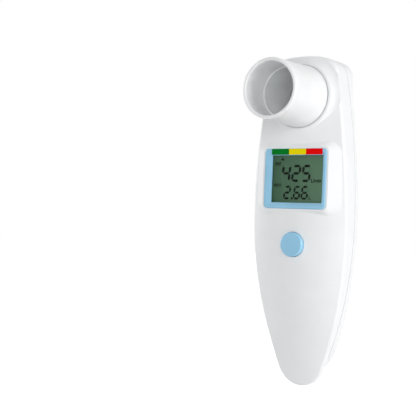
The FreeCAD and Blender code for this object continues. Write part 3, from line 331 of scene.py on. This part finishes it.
# Display
# Share of the pane's sheen and tint that shows over what lies behind it
PANE_SHOWS = 0.06


def clear_window():
    """Polished polycarbonate with a low-reflection coat: clear, faintly smoky."""
    made, tree, shader = new_material("coated_polycarbonate", IOR=1.58, Roughness=0.05)
    tint = two_tone(tree, noise(tree, size=12 * MM), "#1A1E1D", "#232827")
    tree.links.new(tint, shader.inputs["Base Color"])
    passing = add(tree, "ShaderNodeBsdfTransparent", {"Color": linear("#FAFCFB")})
    mixed = add(tree, "ShaderNodeMixShader", {0: PANE_SHOWS})
    tree.links.new(passing.outputs["BSDF"], mixed.inputs[1])
    tree.links.new(shader.outputs["BSDF"], mixed.inputs[2])
    output = tree.nodes["Material Output"]
    tree.links.new(mixed.outputs["Shader"], output.inputs["Surface"])
    return made


def lcd_glass():
    """Reflective liquid-crystal cell: grey green, with painted shading that lightens it
    towards the right, and a grained polariser on it.
    """
    made, tree, shader = new_material(
        "lcd_polariser", IOR=1.50, Roughness=0.42, Specular_IOR_Level=0.1
    )
    low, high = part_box("lcd_panel")
    across = along(tree, "X", low.x, high.x)
    # Painted shading: the cell is darker at its left and lighter at its right, as if
    # light falls on it from the right
    painted_shade_tones = [(0.05, "#56795F"), (0.55, "#6A8D72"), (1.0, "#7A9C81")]
    base = ramp(tree, across, painted_shade_tones)
    grain = two_tone(tree, noise(tree, size=0.25 * MM), "#DCDCDC", "#FFFFFF")
    tree.links.new(multiplied(tree, base, grain), shader.inputs["Base Color"])
    return made


def lcd_ink(name, code, lighter):
    """A switched segment of the liquid crystal: it swallows the light evenly."""
    made, tree, shader = new_material(
        name, IOR=1.50, Roughness=0.45, Specular_IOR_Level=0.05
    )
    colour = two_tone(tree, noise(tree, size=0.3 * MM), code, lighter, high=0.8)
    tree.links.new(colour, shader.inputs["Base Color"])
    return made


# Shares of the label's length where its printed zones meet
ZONE_GREEN_END = 0.345
ZONE_YELLOW_END = 0.678


def zone_film():
    """Screen-printed polyester film with a green, a yellow and a red zone."""
    made, tree, shader = new_material(
        "printed_zone_film", IOR=1.57, Roughness=0.36, Specular_IOR_Level=0.04
    )
    low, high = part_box("zone_label")
    zones = [
        (0.0, "#007A24"),
        (ZONE_GREEN_END, "#F3DE04"),
        (ZONE_YELLOW_END, "#EE0406"),
    ]
    across = along(tree, "X", low.x, high.x)
    print_colour = ramp(tree, across, zones, "CONSTANT")
    mesh_marks = two_tone(tree, noise(tree, size=0.2 * MM), "#E4E4E4", "#FFFFFF")
    base = multiplied(tree, print_colour, mesh_marks)
    tree.links.new(base, shader.inputs["Base Color"])
    bump(tree, shader, noise(tree, size=0.5 * MM), depth=0.004 * MM)
    return made


# The layers are 0.1 mm apart on the real strip, drawn four times as coarse to show
LAYER_PITCH = 0.4 * MM
# How far the wave texture's phase runs over one unit of its scale
WAVE_PHASE = 20


def strip_elastomer():
    """Silicone connector: pink rubber with black conducting layers across it."""
    made, tree, shader = new_material("layered_silicone", IOR=1.43, Roughness=0.55)
    coordinates = add(tree, "ShaderNodeTexCoord").outputs["Object"]
    scale = 2 * math.pi / (WAVE_PHASE * LAYER_PITCH)
    bands = add(
        tree,
        "ShaderNodeTexWave",
        {"Vector": coordinates, "Scale": scale, "Distortion": 0.0},
        bands_direction="X",
    )
    colour = ramp(tree, bands.outputs["Fac"], [(0.45, "#1E1B1B"), (0.55, "#D79A9C")])
    tree.links.new(colour, shader.inputs["Base Color"])
    return made


# Board and cells
def board_laminate():
    """Green solder mask over copper tracks on glass laminate."""
    made, tree, shader = new_material(
        "green_solder_mask", IOR=1.50, Roughness=0.30, Coat_Weight=0.3
    )
    coordinates = add(tree, "ShaderNodeTexCoord").outputs["Object"]
    upright = {"Vector": coordinates, "Rotation": (math.radians(90), 0, 0)}
    turned = add(tree, "ShaderNodeMapping", upright)
    layout = {
        "Vector": turned.outputs["Vector"],
        "Scale": 1.0,
        "Brick Width": 6.5 * MM,
        "Row Height": 1.9 * MM,
        "Mortar Size": 0.22 * MM,
        "Mortar Smooth": 0.1,
        "Color1": linear("#0E4A28"),
        "Color2": linear("#0B4324"),
        "Mortar": linear("#1F6B3A"),
    }
    tracks = add(tree, "ShaderNodeTexBrick", layout, offset=0.37)
    tree.links.new(tracks.outputs["Color"], shader.inputs["Base Color"])
    bump(tree, shader, tracks.outputs["Fac"], depth=0.03 * MM)
    return made


def chip_epoxy():
    """Black epoxy of chips: matt, with the fine pits of its filler."""
    return moulded(
        "chip_epoxy",
        "#1A1A1C",
        "#29292B",
        roughness=0.55,
        grain=0.12 * MM,
        relief=0.01 * MM,
        IOR=1.55,
    )


# Shares of the cell's length where its foot, sleeve and pale band end
CELL_FOOT_END = 0.03
CELL_SLEEVE_END = 0.88
CELL_BAND_END = 0.965


def cell_sleeve():
    """Plain shrink sleeve of a battery cell: slate blue, pale grey at its upper end."""
    made, tree, shader = new_material(
        "printed_shrink_sleeve", IOR=1.50, Metallic=0.2, Coat_Weight=0.3
    )
    low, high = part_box("cell_left")
    up = along(tree, "Z", low.z, high.z)
    bands = [
        (0.0, "#8E9093"),
        (CELL_FOOT_END, "#34495E"),
        (CELL_SLEEVE_END, "#C6CACD"),
        (CELL_BAND_END, "#9C9EA0"),
    ]
    tree.links.new(ramp(tree, up, bands, "CONSTANT"), shader.inputs["Base Color"])
    wrinkles = noise(tree, size=1.5 * MM, detail=3.0)
    uneven_gloss(tree, shader, wrinkles, low=0.25, high=0.4)
    bump(tree, shader, wrinkles, depth=0.01 * MM)
    return made


def dress_nodes():
    """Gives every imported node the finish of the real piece."""
    case = white_abs()
    duct = duct_acetal()
    ruby = bearing_ruby()
    steel = screw_steel()
    nickel = contact_nickel()
    diode = diode_epoxy()
    blue = blue_abs()
    grey = inner_abs()
    black = black_abs()
    epoxy = chip_epoxy()
    sleeve = cell_sleeve()
    finishes = {
        "front_shell": case,
        "rear_shell": case,
        "battery_cover": case,
        "mouthpiece": mouthpiece_polypropylene(),
        "mouthpiece_seal": seal_nitrile(),
        "flow_tube": duct,
        "front_stator": duct,
        "rear_stator": duct,
        "front_bearing": ruby,
        "rear_bearing": ruby,
        "rotor_axle": steel,
        "rotor_vane": rotor_film(),
        "ir_emitter": diode,
        "ir_detector": diode,
        "display_bezel": blue,
        "power_button": blue,
        "zone_label": zone_film(),
        "display_window": clear_window(),
        "lcd_panel": lcd_glass(),
        "lcd_holder": grey,
        "contact_strips": strip_elastomer(),
        "battery_tray": black,
        "tact_switch": black,
        "switch_plunger": black,
        "buzzer": black,
        "main_board": board_laminate(),
        "microcontroller": epoxy,
        "chip_parts": epoxy,
        "case_screws": steel,
        "board_screws": steel,
        "cell_left": sleeve,
        "cell_right": sleeve,
        "bridge_contact": nickel,
        "positive_contact": nickel,
        "negative_contact": nickel,
    }
    for name, material in finishes.items():
        for slot in nodes[name].material_slots:
            slot.material = material


# Mesh steps that several pieces share
def finished(name, made, material, body):
    """Turns a bmesh into a piece that rides on a body."""
    mesh = bpy.data.meshes.new(name)
    made.to_mesh(mesh)
    made.free()
    mesh.materials.append(material)
    piece = bpy.data.objects.new(name, mesh)
    bpy.context.scene.collection.objects.link(piece)
    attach(piece, body)
    return piece


def rounded_face(low, high, front, corner, segments):
    """One upright face with rounded corners, between two (x, z) corners."""
    made = bmesh.new()
    (left, foot), (right, top) = low, high
    outline = [(left, foot), (right, foot), (right, top), (left, top)]
    made.faces.new([made.verts.new((x, front, z)) for x, z in outline])
    bmesh.ops.bevel(
        made,
        geom=made.verts[:],
        offset=corner,
        segments=segments,
        profile=0.5,
        affect="VERTICES",
        material=-1,
    )
    return made


def thickened(made, thickness):
    """Grows every face towards the front of the meter into a closed plate."""
    grown = bmesh.ops.extrude_face_region(made, geom=made.faces[:])
    moved = [part for part in grown["geom"] if isinstance(part, bmesh.types.BMVert)]
    bmesh.ops.translate(made, verts=moved, vec=(0, -thickness, 0))
    bmesh.ops.recalc_face_normals(made, faces=made.faces[:])


# The display frame, whose bars fall away to its outer edge
OPENING_LEFT = -12.8 * MM
OPENING_RIGHT = 14.5 * MM
OPENING_LOW = 38.6 * MM
OPENING_HIGH = 61.1 * MM
OPENING_BEVEL = 0.22 * MM
OPENING_BEVEL_DEPTH = 0.35 * MM
FRAME_CORNER = 1.9 * MM
FRAME_CORNER_SEGMENTS = 6
# Each step in from the outer edge, and how far the crown lies back before it
CROWN_STEPS = (0.45 * MM, 0.45 * MM, 0.4 * MM)
CROWN_DROPS = (0.5 * MM, 0.29 * MM, 0.1 * MM)
# The crown ends below the top bar, which is flat under the zone label
CROWN_FADE_START = 2.0 * MM
CROWN_FADE_END = 0.35 * MM
# A first inset at the opening, before its corners are put in place
EDGE_STEP = 0.1 * MM
SMOOTH_UP_TO = math.radians(20)
MERGE = 0.001 * MM


def clamped(value, low, high):
    """The value, or the limit that it passes."""
    return min(max(value, low), high)


def inset_loop(made, inner, width):
    """Insets the inner face and gives the corners of what is left of it."""
    bmesh.ops.inset_region(
        made,
        faces=[inner],
        thickness=width,
        use_boundary=True,
        use_even_offset=True,
    )
    return inner.verts[:]


def wall_to(made, edges, back):
    """Grows a rim straight back to a depth and gives its new edges."""
    grown = bmesh.ops.extrude_edge_only(made, edges=edges)["geom"]
    for part in grown:
        if isinstance(part, bmesh.types.BMVert):
            part.co.y = back
    return [
        part
        for part in grown
        if isinstance(part, bmesh.types.BMEdge)
        and all(abs(corner.co.y - back) < MERGE for corner in part.verts)
    ]


def crowned_frame():
    """The blue frame with sloping bars and a small bevel round its opening."""
    low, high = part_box("display_bezel")
    made = rounded_face(
        (low.x, low.z), (high.x, high.z), low.y, FRAME_CORNER, FRAME_CORNER_SEGMENTS
    )
    made.faces.ensure_lookup_table()
    inner = made.faces[0]
    loops = [inner.verts[:]]
    for width in CROWN_STEPS:
        loops.append(inset_loop(made, inner, width))
    bevel_loop = inset_loop(made, inner, EDGE_STEP)
    opening_loop = inset_loop(made, inner, EDGE_STEP)
    for loop, drop in zip(loops, CROWN_DROPS):
        for corner in loop:
            below_top = high.z - corner.co.z
            share = (below_top - CROWN_FADE_END) / (CROWN_FADE_START - CROWN_FADE_END)
            corner.co.y += drop * clamped(share, 0, 1)
    for loop, grow, depth in (
        (bevel_loop, OPENING_BEVEL, 0),
        (opening_loop, 0, OPENING_BEVEL_DEPTH),
    ):
        for corner in loop:
            corner.co.x = clamped(corner.co.x, OPENING_LEFT - grow, OPENING_RIGHT + grow)
            corner.co.z = clamped(corner.co.z, OPENING_LOW - grow, OPENING_HIGH + grow)
            corner.co.y += depth
    bmesh.ops.delete(made, geom=[inner], context="FACES_ONLY")
    bmesh.ops.remove_doubles(made, verts=made.verts[:], dist=MERGE)
    rims = [edge for edge in made.edges if edge.is_boundary]
    back_rims = wall_to(made, rims, high.y)
    bmesh.ops.bridge_loops(made, edges=back_rims)
    bmesh.ops.recalc_face_normals(made, faces=made.faces[:])
    for face in made.faces:
        face.smooth = True
    for edge in made.edges:
        edge.smooth = edge.calc_face_angle(0) < SMOOTH_UP_TO
    blue = nodes["display_bezel"].material_slots[0].material
    piece = finished("display_frame", made, blue, "housing")
    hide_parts("display_bezel")


# The printed film on the frame's top bar, up to its upper edge
FILM_CORNER = 0.25 * MM
FILM_CORNER_SEGMENTS = 3
FILM_MARGIN = 0.1 * MM


def printed_zones():
    """The thin film with rounded corners and its three printed zones."""
    low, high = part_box("zone_label")
    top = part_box("display_bezel")[1].z - FILM_MARGIN
    made = rounded_face(
        (low.x, low.z), (high.x, top), high.y, FILM_CORNER, FILM_CORNER_SEGMENTS
    )
    thickened(made, high.y - low.y)
    film = nodes["zone_label"].material_slots[0].material
    piece = finished("printed_zones", made, film, "housing")
    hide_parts("zone_label")


# Marks on the display, as thin plates between the liquid crystal and the window
LCD_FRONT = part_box("lcd_panel")[0].y
INK_GAP = 0.012 * MM
INK_THICKNESS = 0.02 * MM

# Segments lit for a digit: a is the top bar, then clockwise to f, g is the middle
LIT = {"2": "abdeg", "4": "bcfg", "5": "acdfg", "6": "acdefg"}
SEGMENT_ENDS = {
    "a": ((0, 1), (1, 1)),
    "b": ((1, 0.5), (1, 1)),
    "c": ((1, 0), (1, 0.5)),
    "d": ((0, 0), (1, 0)),
    "e": ((0, 0), (0, 0.5)),
    "f": ((0, 0.5), (0, 1)),
    "g": ((0, 0.5), (1, 0.5)),
}
SLANT = math.radians(6)
SEGMENT_GAP = 0.2 * MM
# Room that the decimal point takes before the next digit
POINT_ROOM = 1.15 * MM
# Each row of digits: the first digit's left foot, one digit's size, the pitch
FLOW_ROW = {
    "left": -7.95 * MM,
    "foot": 49.1 * MM,
    "width": 3.65 * MM,
    "height": 7.0 * MM,
    "stroke": 1.2 * MM,
    "pitch": 5.45 * MM,
}
VOLUME_ROW = {
    "left": -6.6 * MM,
    "foot": 40.7 * MM,
    "width": 2.85 * MM,
    "height": 5.5 * MM,
    "stroke": 1.0 * MM,
    "pitch": 4.15 * MM,
}
# The pointer at the zones, a triangle
POINTER_MIDDLE = -7.95 * MM
POINTER_HALF = 1.05 * MM
POINTER_FOOT = 58.8 * MM
POINTER_TIP = 60.2 * MM
# Names and units of the values: piece, letters, middle, foot and size in mm
LETTERINGS = (
    ("lcd_flow_name", "PEF", -10.3, 56.3, 2.2),
    ("lcd_volume_name", "FEV1", -10.1, 46.2, 2.0),
    ("lcd_unit_flow", "L/min", 10.4, 48.4, 2.4),
    ("lcd_unit_volume", "L", 7.3, 40.4, 2.2),
)
LETTER_WEIGHT = 0.07 * MM
LETTER_MERGE = 0.0001 * MM


def plates(name, outlines, material):
    """Thin plates on the liquid crystal, from outlines of (x, z) corners."""
    made = bmesh.new()
    for outline in outlines:
        corners = [made.verts.new((x, LCD_FRONT - INK_GAP, z)) for x, z in outline]
        made.faces.new(corners)
    thickened(made, INK_THICKNESS)
    finished(name, made, material, "housing")


def bar(start, end, stroke):
    """The six corners of a segment with pointed ends."""
    start, end = Vector(start), Vector(end)
    way = (end - start).normalized()
    side = Vector((-way.y, way.x)) * stroke / 2
    start = start + way * SEGMENT_GAP
    end = end - way * SEGMENT_GAP
    near = start + way * stroke / 2
    far = end - way * stroke / 2
    return [start, near + side, far + side, end, far - side, near - side]


def slanted(outline, foot):
    """Leans an outline to the right about the height of its foot."""
    return [(x + (z - foot) * math.tan(SLANT), z) for x, z in outline]


def digit(names, left, foot, width, height, stroke):
    """The outlines of the named segments of one digit, its foot at left, foot."""
    outlines = []
    for name in names:
        ends = [
            (left + across * width, foot + up * height)
            for across, up in SEGMENT_ENDS[name]
        ]
        outlines.append(slanted(bar(*ends, stroke), foot))
    return outlines


def readout(text, left, foot, width, height, stroke, pitch):
    """Lit and resting segments of a row of digits, with its decimal point."""
    lit, resting = [], []
    for character in text:
        if character == ".":
            corner = left - pitch + width + stroke
            low = foot - stroke / 2
            square = [
                (corner, low),
                (corner + stroke, low),
                (corner + stroke, low + stroke),
                (corner, low + stroke),
            ]
            lit.append(square)
            left += POINT_ROOM
            continue
        on = LIT[character]
        off = [name for name in SEGMENT_ENDS if name not in on]
        lit += digit(on, left, foot, width, height, stroke)
        resting += digit(off, left, foot, width, height, stroke)
        left += pitch
    return lit, resting


def lettering(name, text, middle, foot, size, ink):
    """The name or unit of a measured value in plain letters on the display."""
    curve = bpy.data.curves.new(name + "_line", "FONT")
    curve.body = text
    curve.size = size
    curve.offset = LETTER_WEIGHT
    curve.align_x = "CENTER"
    curve.extrude = INK_THICKNESS / 2
    holder = bpy.data.objects.new(name + "_line", curve)
    mesh = bpy.data.meshes.new_from_object(holder)
    bpy.data.objects.remove(holder)
    bpy.data.curves.remove(curve)
    made = bmesh.new()
    made.from_mesh(mesh)
    bpy.data.meshes.remove(mesh)
    bmesh.ops.remove_doubles(made, verts=made.verts[:], dist=LETTER_MERGE)
    stand = Matrix.Rotation(math.radians(90), 4, "X")
    bmesh.ops.transform(made, matrix=stand, verts=made.verts[:])
    front = LCD_FRONT - INK_GAP - INK_THICKNESS / 2
    bmesh.ops.translate(made, verts=made.verts[:], vec=(middle, front, foot))
    finished(name, made, ink, "housing")


def display_marks():
    """The flow above, the volume below, the pointer and the names and units."""
    ink = lcd_ink("dark_segments", "#030705", "#070B08")
    faint = lcd_ink("resting_segments", "#62846A", "#68896F")
    flow_lit, flow_resting = readout("425", **FLOW_ROW)
    volume_lit, volume_resting = readout("2.66", **VOLUME_ROW)
    plates("lcd_digits", flow_lit + volume_lit, ink)
    plates("lcd_resting_digits", flow_resting + volume_resting, faint)
    pointer = [
        (POINTER_MIDDLE - POINTER_HALF, POINTER_FOOT),
        (POINTER_MIDDLE + POINTER_HALF, POINTER_FOOT),
        (POINTER_MIDDLE, POINTER_TIP),
    ]
    plates("lcd_pointer", [pointer], ink)
    for name, text, middle, foot, size in LETTERINGS:
        lettering(name, text, middle * MM, foot * MM, size * MM, ink)


# Light, floor and camera
# World light as a share of what turns a white surface white
WORLD_LEVEL = 0.43
# Each soft box: its compass angle from the front, in degrees, and its power in watts
LAMPS = (
    ("right_soft_box", 82, 3.5),
    ("front_soft_box", 28, 1.85),
    ("left_soft_box", -86, 2.0),
    ("back_soft_box", -160, 1.5),
)
LAMP_RISE = 8
LAMP_DISTANCE = 0.9
LAMP_SIDE = 0.28
AIM = Vector((0, 0, 35 * MM))


def heading(azimuth, rise):
    """The way out from the meter at a compass angle from its front and a rise."""
    return Vector(
        (
            math.sin(azimuth) * math.cos(rise),
            -math.cos(azimuth) * math.cos(rise),
            math.sin(rise),
        )
    )


def lamp(name, azimuth, power):
    """A square soft box that faces the middle of the case from a compass angle."""
    light = bpy.data.lights.new(name, "AREA")
    light.shape = "SQUARE"
    light.size = LAMP_SIDE
    light.energy = power
    piece = bpy.data.objects.new(name, light)
    bpy.context.scene.collection.objects.link(piece)
    way = heading(math.radians(azimuth), math.radians(LAMP_RISE))
    piece.location = AIM + way * LAMP_DISTANCE
    piece.rotation_euler = way.to_track_quat("Z", "Y").to_euler()


def background_rays(tree):
    """1 for the rays that show the background, straight or by reflection."""
    ray = add(tree, "ShaderNodeLightPath")
    total = ray.outputs["Is Camera Ray"]
    for name in ("Is Glossy Ray", "Is Transmission Ray"):
        step = add(tree, "ShaderNodeMath", operation="ADD", use_clamp=True)
        tree.links.new(total, step.inputs[0])
        tree.links.new(ray.outputs[name], step.inputs[1])
        total = step.outputs[0]
    return total


def surroundings():
    """A plain even world, white behind the meter, and the soft boxes."""
    world = bpy.data.worlds.new("studio")
    bpy.context.scene.world = world
    world.use_nodes = True
    tree = world.node_tree
    level = add(
        tree,
        "ShaderNodeMapRange",
        {"Value": background_rays(tree), "To Min": WORLD_LEVEL, "To Max": 1.0},
    )
    sky = tree.nodes["Background"]
    sky.inputs["Color"].default_value = linear("#FFFFFF")
    tree.links.new(level.outputs["Result"], sky.inputs["Strength"])
    for name, azimuth, power in LAMPS:
        lamp(name, azimuth, power)


FLOOR_Z = -120 * MM
FLOOR_HALF = 4.0
# White that the floor adds of its own for the rays that show the background
FLOOR_LIFT = 0.75


def studio_floor():
    """Pale paper floor well below the meter, which is shown held up."""
    made, tree, shader = new_material("pale_paper", Roughness=0.9)
    fibre = two_tone(tree, noise(tree, size=3 * MM), "#E6E6E6", "#EBEBEB")
    tree.links.new(fibre, shader.inputs["Base Color"])
    lift = add(
        tree,
        "ShaderNodeMath",
        {0: background_rays(tree), 1: FLOOR_LIFT},
        operation="MULTIPLY",
    )
    glow = add(tree, "ShaderNodeEmission", {"Strength": lift.outputs[0]})
    total = add(tree, "ShaderNodeAddShader")
    tree.links.new(shader.outputs["BSDF"], total.inputs[0])
    tree.links.new(glow.outputs["Emission"], total.inputs[1])
    output = tree.nodes["Material Output"]
    tree.links.new(total.outputs["Shader"], output.inputs["Surface"])
    sheet = bmesh.new()
    bmesh.ops.create_grid(sheet, x_segments=1, y_segments=1, size=FLOOR_HALF)
    bmesh.ops.translate(sheet, verts=sheet.verts[:], vec=(0, 0, FLOOR_Z))
    mesh = bpy.data.meshes.new("studio_floor")
    sheet.to_mesh(mesh)
    sheet.free()
    mesh.materials.append(made)
    floor = bpy.data.objects.new("studio_floor", mesh)
    bpy.context.scene.collection.objects.link(floor)


# The camera fitted to the photograph: its place, bearing, rise, roll and lens
CAMERA_PLACE = Vector((222.4 * MM, -406.49 * MM, 27.36 * MM))
CAMERA_AZIMUTH = math.radians(34.65)
CAMERA_ELEVATION = math.radians(-0.91)
CAMERA_ROLL = math.radians(2.27)
LENS = 82.39
SENSOR = 36.0
CLIP_NEAR = 0.01
CLIP_FAR = 20.0


def camera():
    """The camera at the photograph's viewing angle."""
    back = heading(CAMERA_AZIMUTH, CAMERA_ELEVATION)
    level = Vector((math.cos(CAMERA_AZIMUTH), math.sin(CAMERA_AZIMUTH), 0))
    rise = back.cross(level)
    right = level * math.cos(CAMERA_ROLL) + rise * math.sin(CAMERA_ROLL)
    up = rise * math.cos(CAMERA_ROLL) - level * math.sin(CAMERA_ROLL)
    eye = bpy.data.cameras.new("camera")
    eye.lens = LENS
    eye.sensor_width = SENSOR
    eye.clip_start = CLIP_NEAR
    eye.clip_end = CLIP_FAR
    piece = bpy.data.objects.new("camera", eye)
    bpy.context.scene.collection.objects.link(piece)
    turn = Matrix((right, up, back)).transposed().to_4x4()
    piece.matrix_world = Matrix.Translation(CAMERA_PLACE) @ turn
    bpy.context.scene.camera = piece


camera()
dress_nodes()
crowned_frame()
printed_zones()
display_marks()
surroundings()
studio_floor()
bpy.context.scene.view_settings.view_transform = "Standard"
